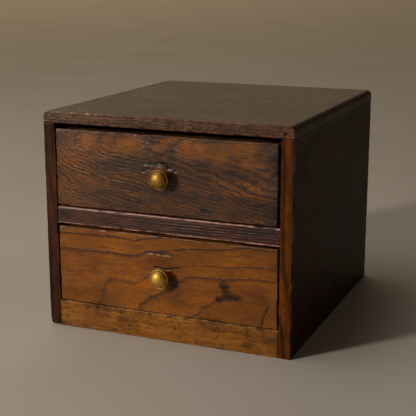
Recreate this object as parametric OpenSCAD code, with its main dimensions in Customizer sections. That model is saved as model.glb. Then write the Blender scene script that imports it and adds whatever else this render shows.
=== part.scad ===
// Table-top apothecary cabinet: a case of solid boards with two drawers, one above the other,
// each pulled by a turned brass knob. All sizes are in millimetres.
// The case stands on z = 0 with its drawers towards -Y and its middle on x = 0.
// y = 0 lies halfway between the knobs' tips and the back of the case.

/* [Case] */
// Width over the two side boards
case_w = 240; // [200:1:300]
// Depth from the front edges of the boards to the back
case_d = 264; // [200:1:330]
// Height over the top board
case_h = 205; // [165:1:260]
// Thickness of the top board
top_t = 11; // [8:0.5:16]
// Radius worked on the top board's two end edges
top_r = 5.5; // [2:0.5:7]
// Thickness of each side board
side_t = 11.5; // [9:0.5:16]
// Thickness of the bottom board
bottom_t = 9; // [6:0.5:14]
// Thickness of the back planks
back_t = 6; // [4:0.5:10]
// Height of the back planks' lower edge above the floor
back_lift = 1.5; // [0.5:0.5:5]

/* [Rails and runners] */
// Height of the rail under the lower drawer
bottom_rail_h = 25.5; // [18:0.5:40]
// Thickness of the bottom rail, front to back
bottom_rail_t = 12; // [9:0.5:20]
// Height of the opening for the lower drawer
lower_opening_h = 75.3; // [50:0.1:100]
// Height of the rail between the drawers, and of the runners behind it
divider_h = 16.2; // [12:0.1:24]
// Depth of the rail between the drawers, front to back
divider_d = 30; // [16:1:50]
// Radius on the divider rail's upper front edge
divider_r = 1.5; // [0.5:0.5:3]
// Width of the runners along the side boards
runner_w = 14; // [10:1:24]
// Depth of the rear rail between the runners, front to back
rear_rail_d = 22; // [12:1:40]

/* [Drawers] */
// Thickness of the drawer fronts
front_t = 13; // [10:0.5:20]
// Wood left in front of a drawer side where it is lapped by the front
lap_t = 5; // [3:0.5:6]
// Distance of the closed fronts behind the front edges of the case
front_recess = 0.6; // [0:0.1:3]
// Thickness of the drawer sides
drawer_side_t = 8; // [6.5:0.5:12]
// Thickness of the drawer backs
drawer_back_t = 8; // [6:0.5:12]
// Thickness of the drawer bottoms
panel_t = 5; // [3:0.5:7]
// Height of wood under the groove that holds a drawer bottom
panel_lift = 4; // [3:0.5:8]
// Depth of that groove
panel_groove = 4; // [2:0.5:5]
// Drop of the drawer sides below the top of the front
side_drop = 3; // [0:0.5:8]
// Gap left of the upper front
upper_gap_left = 0.5; // [0.4:0.1:3]
// Gap right of the upper front
upper_gap_right = 2.5; // [0.4:0.1:4]
// Gap under the upper front
upper_gap_under = 1; // [0.3:0.1:3]
// Gap over the upper front
upper_gap_over = 4.7; // [0.4:0.1:8]
// Gap left of the lower front
lower_gap_left = 1; // [0.4:0.1:3]
// Gap right of the lower front
lower_gap_right = 1.6; // [0.4:0.1:4]
// Gap under the lower front
lower_gap_under = 0.5; // [0.3:0.1:3]
// Gap over the lower front
lower_gap_over = 2.8; // [0.4:0.1:8]
// Gap between a closed drawer and the back planks
rear_gap = 1; // [0.4:0.1:6]

/* [Knobs] */
// Drop of the upper knob below the middle of its front
upper_knob_drop = 2; // [0:0.5:8]
// Drop of the lower knob below the middle of its front
lower_knob_drop = 1; // [0:0.5:8]
// Distance of the upper knob to the left of the middle of its front
upper_knob_left = 0; // [0:0.5:4]
// Distance of the lower knob to the left of the middle of its front
lower_knob_left = 1.5; // [0:0.5:4]
// Diameter over the knob's rim
rim_d = 18; // [13:0.5:26]
// Thickness of the rim
rim_t = 1.8; // [1:0.1:3]
// Depth of the ring cut between the rim and the dome
ring_depth = 0.4; // [0.2:0.1:0.9]
// Diameter of the dome
dome_d = 15.4; // [9:0.2:17]
// Height of the dome
dome_h = 5; // [3:0.2:7]
// Height of the flare under the rim
flare_h = 2.5; // [1:0.1:5]
// Diameter of the neck
neck_d = 7; // [5:0.5:10]
// Length of the neck
neck_l = 3.5; // [2:0.1:8]
// Diameter of the foot collar against the wood
foot_d = 10.5; // [8:0.5:14]
// Thickness of the foot collar
foot_t = 1; // [0.5:0.1:2]
// Diameter of the threaded tail
tail_d = 4; // [3:0.5:5]
// Length of tail standing past the nut
tail_spare = 2; // [0.5:0.5:6]
// Diameter of the washer inside the drawer
washer_d = 11; // [9:0.5:16]
// Thickness of that washer
washer_t = 1; // [0.6:0.1:2]
// Width of the square nut
nut_w = 8; // [7:0.5:9]
// Thickness of the nut
nut_t = 3; // [2:0.5:5]

/* [Joinery] */
// Reach of the rails' stub tenons into the side boards
tenon_l = 5; // [3:0.5:6]
// Thickness of the tenons, front to back
tenon_t = 6; // [4:0.5:7]
// Shoulder above and below a tenon
tenon_shoulder = 4; // [2:0.5:5]
// Depth of the housings that hold the bottom board
housing = 4; // [2:0.5:6]
// Overlap of the back planks on the side boards
back_lap = 6; // [4:0.5:7]
// Diameter of the wooden pegs through the top board
top_peg_d = 3; // [2:0.5:4]
// Length of those pegs
top_peg_l = 32; // [20:1:45]
// Distance of the outer pegs from the front and from the back planks
top_peg_inset = 24; // [18:1:50]
// Diameter of the wooden pegs at the drawers' corners
peg_d = 2.5; // [2:0.5:3]
// Length of those pegs
peg_l = 20; // [14:1:30]
// Diameter of the iron nails' shanks
nail_d = 1.8; // [1.2:0.1:2.4]
// Diameter of the nails' heads
nail_head_d = 4; // [3:0.5:5]
// Thickness of the nails' heads
nail_head_t = 1; // [0.5:0.1:1.5]
// Reach of a nail beyond the wood it holds
nail_reach = 7; // [4:0.5:7.5]

/* [Clearances] */
// Clearance all round a glued joint
joint_fit = 0.1; // [0.05:0.05:0.2]
// Clearance round pegs, nails and knob tails
pin_fit = 0.05; // [0.02:0.01:0.1]
// Clearance of the drawers over the wood they slide on
slide_gap = 0.3; // [0.2:0.1:0.6]

/* [Hidden] */
$fn = 48;
// The back is three planks, one above the other
back_count = 3;
// Length by which a cutting shape runs past the face that it opens
past = 1;

// Wood and metal colours
dark_oak = "#4a2d1b";
brown_oak = "#6b4120";
amber_oak = "#8a5526";
plain_wood = "#b08a5c";
aged_brass = "#a57c2e";
old_iron = "#3d3936";

// The knob's total length outside the drawer front, and how far it stands out of the case
knob_l = foot_t + neck_l + flare_h + rim_t - ring_depth + dome_h;
knob_out = knob_l - front_recess;
// Length of the knob's tail behind the drawer front's face, and the hole that it passes through
tail_l = front_t + washer_t + nut_t + tail_spare;
tail_hole_d = tail_d + 4 * pin_fit;

// Outer faces of the case
x_out = case_w / 2;
y_front = (knob_out - case_d) / 2;
y_rear = y_front + case_d;

// Inner faces of the case
x_in = x_out - side_t;
y_back = y_rear - back_t;
z_under_top = case_h - top_t;
z_low_floor = bottom_rail_h;
z_divider = z_low_floor + lower_opening_h;
z_high_floor = z_divider + divider_h;

// A drawer is given by the left and right ends of its front, the height that it slides on, the
// bottom and top of its front, and its knob's drop and distance to the left
UPPER = [-x_in + upper_gap_left, x_in - upper_gap_right, z_high_floor,
         z_high_floor + upper_gap_under, z_under_top - upper_gap_over,
         upper_knob_drop, upper_knob_left];
LOWER = [-x_in + lower_gap_left, x_in - lower_gap_right, z_low_floor,
         z_low_floor + lower_gap_under, z_divider - lower_gap_over,
         lower_knob_drop, lower_knob_left];
function left_end(drawer) = drawer[0];
function right_end(drawer) = drawer[1];
function front_foot(drawer) = drawer[3];
function front_top(drawer) = drawer[4];
function middle(drawer) = (left_end(drawer) + right_end(drawer)) / 2;
function knob_x(drawer) = middle(drawer) - drawer[6];
function knob_z(drawer) = (front_foot(drawer) + front_top(drawer)) / 2 - drawer[5];
function side_foot(drawer) = drawer[2] + slide_gap;
function side_top(drawer) = front_top(drawer) - side_drop;
function panel_foot(drawer) = side_foot(drawer) + panel_lift;
function panel_top(drawer) = panel_foot(drawer) + panel_t;
y_face = y_front + front_recess;
y_lap = y_face + lap_t;
y_inside = y_face + front_t;
y_end = y_back - rear_gap;

// Places spread evenly between two ends, each in the middle of its share
function spread(low, high, count) = [for (i = [0 : count - 1]) low + (high - low) * (i + 0.5) / count];

// A block between two opposite corners
module block(low, high) {
    translate(low) cube(high - low);
}

// A round bar of diameter d from a point, l long, towards the axis that turn points it to
module bar(at, turn, d, l) {
    translate(at) rotate(turn) cylinder(d = d, h = l);
}
to_right = [0, 90, 0];
to_left = [0, -90, 0];
to_rear = [-90, 0, 0];
to_front = [90, 0, 0];
upwards = [0, 0, 0];
downwards = [180, 0, 0];

// A nail whose head is sunk flush at its start: the head, then the shank to the full length
module nail(at, turn, l, fit = 0) {
    bar(at, turn, nail_head_d + 2 * fit, nail_head_t + fit);
    bar(at, turn, nail_d + 2 * fit, l + fit);
}

// ---- pegs and nails of the case ----

top_peg_x = x_out - top_r - top_peg_d / 2;
top_peg_ys = [y_front + top_peg_inset, (y_front + y_back) / 2, y_back - top_peg_inset];

module top_peg_set(d, l) {
    for (x = [-top_peg_x, top_peg_x], y = top_peg_ys)
        bar([x, y, case_h], downwards, d, l);
}

runner_nail_ys = spread(y_front + divider_d, y_back, 2);
runner_nail_z = z_divider + divider_h / 2;

module runner_nail_set(fit) {
    for (y = runner_nail_ys) {
        nail([x_in - runner_w, y, runner_nail_z], to_right, runner_w + nail_reach, fit);
        nail([-x_in + runner_w, y, runner_nail_z], to_left, runner_w + nail_reach, fit);
    }
}

plank_h = (z_under_top - back_lift) / back_count;
back_nail_x = x_in + back_lap / 2;
function plank_foot(i) = back_lift + i * plank_h;

// Two nails in each end of each plank, all of them above the bottom board
module back_nail_set(fit) {
    for (x = [-back_nail_x, back_nail_x], i = [0 : back_count - 1])
        for (z = spread(max(plank_foot(i), z_low_floor), plank_foot(i + 1), 2))
            nail([x, y_rear, z], to_front, back_t + 2 * nail_reach, fit);
}

module top_pegs() color(plain_wood) top_peg_set(top_peg_d, top_peg_l);
module runner_nails() color(old_iron) runner_nail_set(0);
module back_nails() color(old_iron) back_nail_set(0);

// ---- boards of the case ----

// The top board lies over the sides; its end edges are rounded above
module top_board() {
    color(brown_oak) difference() {
        translate([0, y_rear, z_under_top]) rotate([90, 0, 0]) linear_extrude(case_d) {
            translate([-x_out, 0]) square([case_w, top_t - top_r]);
            translate([-x_out + top_r, 0]) square([case_w - 2 * top_r, top_t]);
            for (x = [-x_out + top_r, x_out - top_r])
                translate([x, top_t - top_r]) circle(r = top_r);
        }
        top_peg_set(top_peg_d + 2 * pin_fit, top_peg_l);
    }
}

// A rail between the side boards with a stub tenon at each end; grow widens its outline and
// its tenons, which gives the mortise's shape
module rail_tenons(y_start, depth, z_foot, height, grow) {
    y_tenon = y_start + (depth - tenon_t) / 2;
    block([-x_in - tenon_l - grow, y_tenon - grow, z_foot + tenon_shoulder - grow],
          [x_in + tenon_l + grow, y_tenon + tenon_t + grow,
           z_foot + height - tenon_shoulder + grow]);
}

module bottom_rail_tenons(grow) rail_tenons(y_front, bottom_rail_t, 0, bottom_rail_h, grow);
module divider_tenons(grow) rail_tenons(y_front, divider_d, z_divider, divider_h, grow);

bottom_board_foot = z_low_floor - bottom_t;

// The left board, standing from the floor to the top board, with every cut that meets it
module side_board() {
    difference() {
        block([-x_out, y_front, 0], [-x_in, y_rear, z_under_top]);
        // rabbet for the back planks
        block([-x_in - back_lap, y_back, -past], [-x_in + past, y_rear + past, z_under_top + past]);
        // housing for the bottom board
        block([-x_in - housing - joint_fit, y_front + bottom_rail_t, bottom_board_foot - joint_fit],
              [-x_in + past, y_back + past, z_low_floor + joint_fit]);
        bottom_rail_tenons(joint_fit);
        divider_tenons(joint_fit);
        top_peg_set(top_peg_d + 2 * pin_fit, top_peg_l + pin_fit);
        runner_nail_set(pin_fit);
        back_nail_set(pin_fit);
    }
}

module left_side() color(dark_oak) side_board();
module right_side() color(brown_oak) mirror([1, 0, 0]) side_board();

module bottom_board() {
    color(plain_wood)
        block([-x_in - housing, y_front + bottom_rail_t, bottom_board_foot],
              [x_in + housing, y_back, z_low_floor]);
}

module bottom_rail() {
    color(amber_oak) {
        block([-x_in, y_front, 0], [x_in, y_front + bottom_rail_t, bottom_rail_h]);
        bottom_rail_tenons(0);
    }
}

// The rail between the drawers, with its upper front edge rounded
module divider_rail() {
    color(dark_oak) {
        translate([-x_in, y_front, z_divider]) rotate([90, 0, 90]) linear_extrude(2 * x_in) {
            translate([divider_r, 0]) square([divider_d - divider_r, divider_h]);
            square([divider_d, divider_h - divider_r]);
            translate([divider_r, divider_h - divider_r]) circle(r = divider_r);
        }
        divider_tenons(0);
    }
}

// A runner lies behind the divider rail, nailed to a side board
module runner() {
    difference() {
        block([-x_in, y_front + divider_d, z_divider], [-x_in + runner_w, y_back, z_high_floor]);
        runner_nail_set(pin_fit);
    }
}

module left_runner() color(plain_wood) runner();
module right_runner() color(plain_wood) mirror([1, 0, 0]) runner();

module rear_rail() {
    color(plain_wood)
        block([-x_in + runner_w, y_back - rear_rail_d, z_divider],
              [x_in - runner_w, y_back, z_high_floor]);
}

// One plank of the back, counted from the lowest as 0
module back_plank(i) {
    difference() {
        block([-x_in - back_lap + joint_fit, y_back, plank_foot(i)],
              [x_in + back_lap - joint_fit, y_rear, plank_foot(i + 1) - joint_fit]);
        back_nail_set(pin_fit);
    }
}

module back_plank_low() color(plain_wood) back_plank(0);
module back_plank_mid() color(plain_wood) back_plank(1);
module back_plank_high() color(plain_wood) back_plank(2);

// ---- drawers ----

// Corner pegs: through each side into the front, and into the drawer's back
module corner_pegs(drawer, fit) {
    ys = [y_lap + (front_t - lap_t) / 2, y_end - drawer_back_t / 2];
    for (y = ys, z = spread(panel_top(drawer), side_top(drawer), 2)) {
        bar([left_end(drawer), y, z], to_right, peg_d + 2 * fit, peg_l + fit);
        bar([right_end(drawer), y, z], to_left, peg_d + 2 * fit, peg_l + fit);
    }
}

// Nails up through the bottom into the drawer's back
module bottom_nails(drawer, fit) {
    for (x = spread(left_end(drawer) + drawer_side_t, right_end(drawer) - drawer_side_t, 3))
        nail([x, y_end - drawer_back_t / 2, panel_foot(drawer)], upwards, panel_t + 2 * nail_reach, fit);
}

// The bottom panel's edge, in grooves in the sides and the front; grow gives the grooves
module panel_shape(drawer, grow) {
    block([left_end(drawer) + drawer_side_t - panel_groove - grow, y_inside - panel_groove - grow,
           panel_foot(drawer) - grow],
          [right_end(drawer) - drawer_side_t + panel_groove + grow, y_end + (grow > 0 ? past : 0),
           panel_top(drawer) + grow]);
}

module knob_place(drawer) {
    translate([knob_x(drawer), y_face, knob_z(drawer)]) children();
}

module drawer_front(drawer) {
    difference() {
        union() {
            block([left_end(drawer), y_face, front_foot(drawer)],
                  [right_end(drawer), y_lap, front_top(drawer)]);
            block([left_end(drawer) + drawer_side_t, y_face, front_foot(drawer)],
                  [right_end(drawer) - drawer_side_t, y_inside, front_top(drawer)]);
        }
        panel_shape(drawer, joint_fit);
        corner_pegs(drawer, pin_fit);
        knob_place(drawer) bar([0, -past, 0], to_rear, tail_hole_d, front_t + 2 * past);
    }
}

module drawer_side(drawer, x_low, x_high) {
    difference() {
        block([x_low, y_lap, side_foot(drawer)], [x_high, y_end, side_top(drawer)]);
        panel_shape(drawer, joint_fit);
        corner_pegs(drawer, pin_fit);
    }
}

module drawer_left(drawer) {
    drawer_side(drawer, left_end(drawer), left_end(drawer) + drawer_side_t);
}

module drawer_right(drawer) {
    drawer_side(drawer, right_end(drawer) - drawer_side_t, right_end(drawer));
}

module drawer_back(drawer) {
    difference() {
        block([left_end(drawer) + drawer_side_t, y_end - drawer_back_t, panel_top(drawer) + joint_fit],
              [right_end(drawer) - drawer_side_t, y_end, side_top(drawer)]);
        corner_pegs(drawer, pin_fit);
        bottom_nails(drawer, pin_fit);
    }
}

module drawer_bottom(drawer) {
    difference() {
        panel_shape(drawer, 0);
        bottom_nails(drawer, pin_fit);
    }
}

// The knob's height above the wood where its rim starts, and where its dome starts
rim_foot = foot_t + neck_l + flare_h;
dome_foot = rim_foot + rim_t - ring_depth;
dome_r = (pow(dome_d / 2, 2) + pow(dome_h, 2)) / (2 * dome_h);

// A brass knob turned in one piece with its tail: foot collar, neck, flare, rim, ring and dome
module knob(drawer) {
    knob_place(drawer) rotate(to_front) {
        cylinder(d = foot_d, h = foot_t);
        cylinder(d = neck_d, h = rim_foot);
        translate([0, 0, foot_t + neck_l]) cylinder(d1 = neck_d, d2 = rim_d, h = flare_h);
        difference() {
            translate([0, 0, rim_foot]) cylinder(d = rim_d, h = rim_t);
            translate([0, 0, dome_foot]) cylinder(d = (dome_d + rim_d) / 2, h = rim_t);
        }
        intersection() {
            translate([0, 0, dome_foot + dome_h - dome_r]) sphere(r = dome_r);
            translate([0, 0, dome_foot - past / 2]) cylinder(d = dome_d, h = dome_h + past);
        }
        translate([0, 0, -tail_l]) cylinder(d = tail_d, h = tail_l + foot_t);
    }
}

module washer(drawer) {
    knob_place(drawer) translate([0, front_t, 0]) rotate(to_rear) difference() {
        cylinder(d = washer_d, h = washer_t);
        translate([0, 0, -past]) cylinder(d = tail_hole_d, h = washer_t + 2 * past);
    }
}

module nut(drawer) {
    knob_place(drawer) translate([0, front_t + washer_t, 0]) rotate(to_rear) difference() {
        translate([-nut_w / 2, -nut_w / 2, 0]) cube([nut_w, nut_w, nut_t]);
        translate([0, 0, -past]) cylinder(d = tail_d + 2 * pin_fit, h = nut_t + 2 * past);
    }
}

module upper_front() color(dark_oak) drawer_front(UPPER);
module upper_left_side() color(plain_wood) drawer_left(UPPER);
module upper_right_side() color(plain_wood) drawer_right(UPPER);
module upper_back() color(plain_wood) drawer_back(UPPER);
module upper_bottom() color(plain_wood) drawer_bottom(UPPER);
module upper_pegs() color(brown_oak) corner_pegs(UPPER, 0);
module upper_nails() color(old_iron) bottom_nails(UPPER, 0);
module upper_knob() color(aged_brass) knob(UPPER);
module upper_washer() color(old_iron) washer(UPPER);
module upper_nut() color(old_iron) nut(UPPER);

module lower_front() color(amber_oak) drawer_front(LOWER);
module lower_left_side() color(plain_wood) drawer_left(LOWER);
module lower_right_side() color(plain_wood) drawer_right(LOWER);
module lower_back() color(plain_wood) drawer_back(LOWER);
module lower_bottom() color(plain_wood) drawer_bottom(LOWER);
module lower_pegs() color(brown_oak) corner_pegs(LOWER, 0);
module lower_nails() color(old_iron) bottom_nails(LOWER, 0);
module lower_knob() color(aged_brass) knob(LOWER);
module lower_washer() color(old_iron) washer(LOWER);
module lower_nut() color(old_iron) nut(LOWER);

top_board();
left_side();
right_side();
bottom_board();
bottom_rail();
divider_rail();
left_runner();
right_runner();
rear_rail();
back_plank_low();
back_plank_mid();
back_plank_high();
top_pegs();
runner_nails();
back_nails();
upper_front();
upper_left_side();
upper_right_side();
upper_back();
upper_bottom();
upper_pegs();
upper_nails();
upper_knob();
upper_washer();
upper_nut();
lower_front();
lower_left_side();
lower_right_side();
lower_back();
lower_bottom();
lower_pegs();
lower_nails();
lower_knob();
lower_washer();
lower_nut();
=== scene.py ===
"""A table-top apothecary cabinet: a case of old oiled boards and two drawers with turned brass knobs.

The sections follow the cabinet as it is put together. Lengths are in millimetres, except where
Blender is handed metres: a length times MM.
"""

import bpy
import numpy as np
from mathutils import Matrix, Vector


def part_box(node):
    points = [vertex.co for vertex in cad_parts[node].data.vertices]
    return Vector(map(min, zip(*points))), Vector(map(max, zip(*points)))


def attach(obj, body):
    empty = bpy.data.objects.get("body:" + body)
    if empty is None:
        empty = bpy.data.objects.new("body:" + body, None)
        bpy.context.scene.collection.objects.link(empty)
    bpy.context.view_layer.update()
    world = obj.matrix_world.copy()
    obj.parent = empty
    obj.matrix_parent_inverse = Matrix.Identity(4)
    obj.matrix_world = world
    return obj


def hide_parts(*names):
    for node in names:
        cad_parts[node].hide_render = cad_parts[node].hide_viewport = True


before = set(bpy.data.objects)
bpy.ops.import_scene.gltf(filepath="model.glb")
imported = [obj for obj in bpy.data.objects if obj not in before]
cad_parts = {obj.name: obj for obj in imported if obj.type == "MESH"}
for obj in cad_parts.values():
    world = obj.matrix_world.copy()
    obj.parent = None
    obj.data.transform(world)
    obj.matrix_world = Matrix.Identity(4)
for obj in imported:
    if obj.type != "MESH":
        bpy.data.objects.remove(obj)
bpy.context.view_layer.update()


# ---- Camera, floor and light ----
# The cabinet stands on a plain pale floor of painted board. A soft window-like light comes from the
# front left, a wide dim one from high on the left, a very wide one hangs over the far floor, and
# a weak even light from all round fills the shadows.

MM = 0.001
VIEW_AZIMUTH = np.radians(22.62)
VIEW_ELEVATION = np.radians(13.76)
VIEW_DISTANCE = 0.9
VIEW_TARGET = np.array([0.0296, -0.0942, 0.1206])
VIEW_LENS = 86.42


def toward(azimuth, elevation):
    """Unit vector from the cabinet to a place at that azimuth, 0 in front and growing to the right,
    and that angle above the horizon."""
    flat = np.cos(elevation)
    return np.array([np.sin(azimuth) * flat, -np.cos(azimuth) * flat, np.sin(elevation)])


def aim(thing, place, target):
    """Puts a camera or lamp at place, looking at target along its own -Z axis with +Y upwards."""
    back = (place - target) / np.linalg.norm(place - target)
    right = np.cross([0.0, 0.0, 1.0], back)
    right /= np.linalg.norm(right)
    turn = np.eye(4)
    turn[:3, :3] = np.stack([right, np.cross(back, right), back], axis=1)
    turn[:3, 3] = place
    thing.matrix_world = turn.T.tolist()


def link(thing):
    """Puts a new object in the scene and gives it back."""
    bpy.context.scene.collection.objects.link(thing)
    return thing


camera = link(bpy.data.objects.new("camera", bpy.data.cameras.new("camera")))
camera.data.lens = VIEW_LENS
camera.data.clip_start = 0.01
aim(camera, VIEW_TARGET + VIEW_DISTANCE * toward(VIEW_AZIMUTH, VIEW_ELEVATION), VIEW_TARGET)
bpy.context.scene.camera = camera
bpy.context.scene.view_settings.view_transform = "Standard"

CASE_MIDDLE = np.array([0.0, 0.0, 0.1])
DOWN = np.array([0.03, 0.0, -1.0])
LIGHTS = [  # name, azimuth and height in degrees, distance, width and height in metres, watts, colour
    ("window", -36.0, 17.0, 2.2, 0.24, 0.5, 30.5, (1.0, 0.955, 0.90)),
    ("sky", -70.0, 62.0, 2.4, 1.6, 1.6, 13.0, (0.94, 0.96, 1.0)),
    ("ceiling", -136.5, 16.4, 11.4, 14.0, 14.0, 300.0, (1.0, 0.82, 0.57)),
]
for name, azimuth, height, distance, wide, tall, watts, colour in LIGHTS:
    lamp = link(bpy.data.objects.new(name, bpy.data.lights.new(name, "AREA")))
    lamp.data.shape = "RECTANGLE"
    lamp.data.size = wide
    lamp.data.size_y = tall
    lamp.data.energy = watts
    lamp.data.color = colour
    lamp.visible_camera = False
    place = CASE_MIDDLE + distance * toward(np.radians(azimuth), np.radians(height))
    aim(lamp, place, place + DOWN if name == "ceiling" else CASE_MIDDLE)

EVEN_COLOUR = (1.0, 0.84, 0.66, 1.0)
EVEN_STRENGTH = 0.055
world = bpy.data.worlds.new("even_light")
world.use_nodes = True
background = world.node_tree.nodes["Background"]
background.inputs["Color"].default_value = EVEN_COLOUR
background.inputs["Strength"].default_value = EVEN_STRENGTH
bpy.context.scene.world = world


def linear(hex_colour):
    """A colour written as sRGB hex, turned to linear red, green, blue and a full alpha."""
    srgb = np.array([int(hex_colour[i:i + 2], 16) for i in (1, 3, 5)]) / 255
    rgb = np.where(srgb <= 0.04045, srgb / 12.92, ((srgb + 0.055) / 1.055) ** 2.4)
    return (*rgb.tolist(), 1.0)


def add(tree, kind, inputs=None, stops=None, **settings):
    """Adds a shader node. inputs gives its sockets a value, or the socket that feeds them, or a node
    whose first socket in use feeds them; settings gives its properties, and stops the places and
    values of a colour ramp."""
    node = tree.nodes.new("ShaderNode" + kind)
    for key, value in settings.items():
        setattr(node, key, value)
    for key, value in (inputs or {}).items():
        if isinstance(value, bpy.types.Node):
            value = next(socket for socket in value.outputs if socket.enabled)
        if isinstance(value, bpy.types.NodeSocket):
            tree.links.new(value, node.inputs[key])
        else:
            node.inputs[key].default_value = value
    if stops:
        ramp = node.color_ramp
        while len(ramp.elements) < len(stops):
            ramp.elements.new(0.5)
        for element, (place, colour) in zip(ramp.elements, stops):
            element.position = place
            element.color = linear(colour) if isinstance(colour, str) else (colour,) * 3 + (1.0,)
    return node


def new_material(name):
    """An empty material and its tree, with a Principled shader joined to its output."""
    material = bpy.data.materials.new(name)
    material.use_nodes = True
    tree = material.node_tree
    tree.nodes.clear()
    shader = add(tree, "BsdfPrincipled")
    add(tree, "OutputMaterial", {"Surface": shader.outputs["BSDF"]})
    return material, tree, shader


# Painted board: a matt warm white, faintly uneven, so that the floor isn't one dead tone.
floor_paint, tree, shader = new_material("matt_painted_floor")
place = add(tree, "TexCoord").outputs["Object"]
cloud = add(tree, "TexNoise", {"Vector": place, "Scale": 3.0, "Detail": 3.0}).outputs["Fac"]
tone = add(tree, "ValToRGB", {"Fac": cloud}, stops=[(0.3, "#b9ad9d"), (0.7, "#c1b6a6")])
tree.links.new(tone.outputs["Color"], shader.inputs["Base Color"])
shader.inputs["Roughness"].default_value = 0.7

FLOOR_REACH = 20.0
corners = [(-1, -1), (1, -1), (1, 1), (-1, 1)]
floor_mesh = bpy.data.meshes.new("floor")
floor_mesh.from_pydata([(FLOOR_REACH * x, FLOOR_REACH * y, 0.0) for x, y in corners], [], [(0, 1, 2, 3)])
floor_mesh.materials.append(floor_paint)
link(bpy.data.objects.new("floor", floor_mesh))

# ---- Side boards ----
# Two standing boards of old ring-porous hardwood such as chestnut, planed by hand, stained dark
# and oiled. They are rabbeted at the back for the planks, housed for the bottom board, and
# mortised for the two rails.


def node_box(node):
    """The lowest and the highest corner of a CAD node, in millimetres."""
    low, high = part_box(node)
    return np.array(low) / MM, np.array(high) / MM


def noise(p, cell, seed):
    """Smooth noise from -1 to 1 at points p: random values on a lattice with cells of the given
    size, blended between the eight corners of a cell by the curve 3t^2 - 2t^3."""
    table = np.random.default_rng(seed).uniform(-1, 1, (32, 32, 32))
    q = p / np.asarray(cell, float)
    whole = np.floor(q).astype(int)
    t = q - whole
    t = t * t * (3 - 2 * t)
    total = 0.0
    for corner in np.ndindex(2, 2, 2):
        weight = np.prod(np.where(corner, t, 1 - t), axis=1)
        total = total + weight * table[tuple(((whole + corner) % 32).T)]
    return total


def grid_lines(low, high, step, cuts=()):
    """Grid lines from low to high about step apart, closer near both ends, where the arrises are
    rounded, and one on each cut."""
    near = np.array([0.0, 0.25, 0.6, 1.1, 1.8, 2.8])
    near = near[near < (high - low) / 3]
    count = max(2, int(round((high - low - 2 * near[-1]) / step)) + 1)
    even = np.linspace(low + near[-1], high - near[-1], count)
    lines = np.unique(np.round(np.concatenate([low + near, high - near, even]), 4))
    for cut in cuts:
        lines = np.append(lines[np.abs(lines - cut) > min(step / 4, 0.2)], cut)
    return np.sort(lines)


def carve(x, y, z, keep=None):
    """Surface of a solid on a grid: of the cells between the lines x, y and z, those whose middle
    keep accepts are wood, and each side between wood and air is a quad that faces the air."""
    middles = np.meshgrid(*[(a[1:] + a[:-1]) / 2 for a in (x, y, z)], indexing="ij")
    wood = keep(*middles) if keep else np.ones(middles[0].shape, bool)
    number = np.arange(len(x) * len(y) * len(z)).reshape(len(x), len(y), len(z))
    quads = []
    for axis in range(3):
        across = np.moveaxis(np.pad(wood, 1), axis, 0)[:, 1:-1, 1:-1].astype(int)
        corner = np.moveaxis(number, axis, 0)
        for side in (1, -1):
            i, j, k = np.nonzero(across[1:] - across[:-1] == side)
            ring = [corner[i, j, k], corner[i, j + 1, k], corner[i, j + 1, k + 1], corner[i, j, k + 1]]
            quads.append(np.stack(ring if (side == -1) != (axis == 1) else ring[::-1], axis=1))
    used, quads = np.unique(np.concatenate(quads), return_inverse=True)
    p = np.stack([a.ravel()[used] for a in np.meshgrid(x, y, z, indexing="ij")], axis=1)
    return p, quads.reshape(-1, 4)


def soften(p, low, high, radius):
    """Rounds a box's arrises: a point farther than radius from the box shrunk by radius is drawn
    straight back to that distance."""
    core = np.clip(p, low + radius, high - radius)
    out = p - core
    length = np.linalg.norm(out, axis=1, keepdims=True)
    return core + out * np.minimum(1.0, radius / np.maximum(length, 1e-9))


def outward(p, quads):
    """Unit normals at the points: the sum of the cross products of the diagonals of the quads round
    each point, made one long."""
    a, b, c, d = (p[quads[:, i]] for i in range(4))
    facing = np.cross(c - a, d - b)
    total = np.zeros_like(p)
    for i in range(4):
        for axis in range(3):
            total[:, axis] += np.bincount(quads[:, i], facing[:, axis], len(p))
    return total / np.maximum(np.linalg.norm(total, axis=1, keepdims=True), 1e-12)


def rim_closeness(p, low, high, reach):
    """1 on a box's arrises, falling off inwards: the second smallest of a point's three distances
    to the box's faces, over reach, in a falling exponential."""
    depth = np.minimum(p - low, high - p)
    return np.exp(-np.clip(np.sort(depth, axis=1)[:, 1], 0, None) / reach)


def new_piece(name, p, faces, material, **layers):
    """A smooth mesh object from points in millimetres and faces, each layer a value at every point."""
    mesh = bpy.data.meshes.new(name)
    mesh.from_pydata((p * MM).tolist(), [], faces.tolist() if isinstance(faces, np.ndarray) else faces)
    mesh.polygons.foreach_set("use_smooth", np.ones(len(mesh.polygons), bool))
    for layer, values in layers.items():
        attribute = mesh.attributes.new(layer, "FLOAT", "POINT")
        attribute.data.foreach_set("value", np.asarray(values, np.float32))
    mesh.materials.append(material)
    mesh.update()
    return link(bpy.data.objects.new(name + "_visual", mesh))


def join_frame(piece, body, slot, *nodes):
    """The piece stands for CAD nodes and rides on their body; slot is not used."""
    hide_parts(*nodes)
    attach(piece, body)


def late_wood(ring, late):
    """How much of a ring's dark late wood there is, by the share of the ring that has passed: it
    climbs from 0 to 1 between late[0] and late[1], stays, and is back to 0 at late[2]."""
    share = ring - np.floor(ring)
    start, full, end = late
    fade = 0.4 * (end - full)
    return np.clip((share - start) / (full - start), 0, 1) * np.clip((end - share) / fade, 0, 1)


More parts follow.
